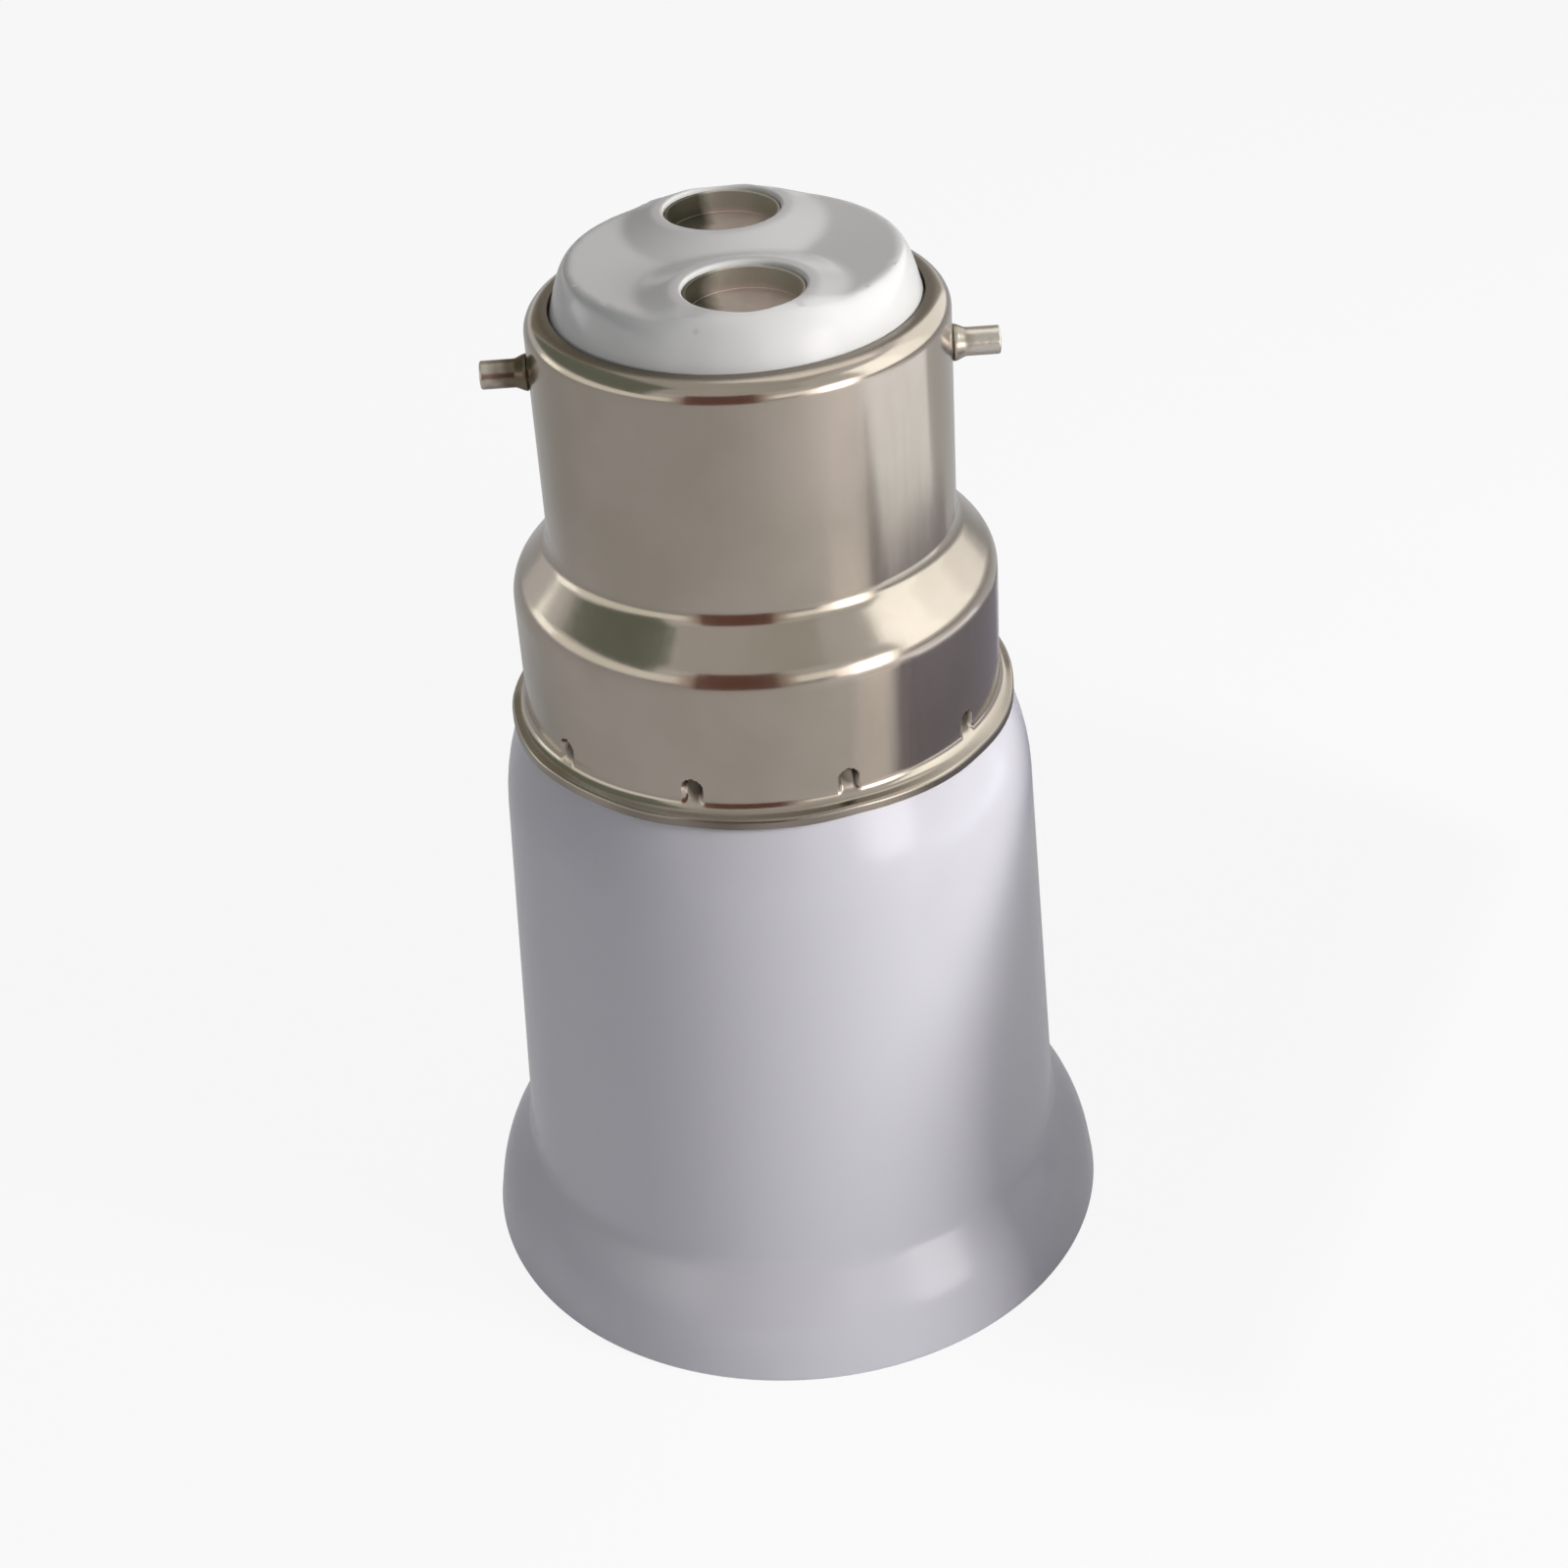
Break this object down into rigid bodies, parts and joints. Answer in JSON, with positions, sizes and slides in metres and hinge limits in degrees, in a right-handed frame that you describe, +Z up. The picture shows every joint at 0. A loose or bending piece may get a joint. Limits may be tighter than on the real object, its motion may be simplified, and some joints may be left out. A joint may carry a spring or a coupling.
{
  "type": "lamp socket adapter",
  "caption": "Lamp socket adapter with a bayonet cap above and an Edison screw socket inside its flared white skirt.",
  "frame": {"origin": "middle of the flared mouth's rim, on the plane it stands on", "axes": "+Z up along the adapter's axis to the bayonet cap, X through the two side pins, Y along the two cap contacts"},
  "size_m": [0.0372, 0.0372, 0.0616],
  "materials": {
    "housing_plastic": "smooth gloss moulding",
    "insulator_plastic": "smooth gloss moulding",
    "nickel_plate": "nickel-plated drawn sheet",
    "pin_metal": "nickel-plated, a little tarnished",
    "contact_metal": "nickel-plated",
    "screw_shell_metal": "nickel-plated drawn sheet",
    "spring_bronze": "rolled spring strip",
    "contact_brass": "turned",
    "lead_copper": "bare drawn wire"
  },
  "bodies": {
    "adapter": {"housing_body": "housing_plastic", "bayonet_shell": "nickel_plate", "bayonet_pin_left": "pin_metal", "bayonet_pin_right": "pin_metal", "cap_insulator": "insulator_plastic", "contact_cup_front": "contact_metal", "contact_cup_rear": "contact_metal", "screw_shell": "screw_shell_metal", "centre_contact_leaf": "spring_bronze", "leaf_rivet": "contact_brass", "lead_wire_shell": "lead_copper", "lead_wire_centre": "lead_copper"},
    "contact_point": {"centre_contact_button": "contact_brass"}
  },
  "joints": [
    {"name": "centre_contact_press", "type": "slide", "parent": "adapter", "child": "contact_point", "axis": [0, 0, 1], "range_m": [0, 0.0012], "stiffness_N_per_m": 3000, "deforming": ["centre_contact_leaf"]}
  ]
}
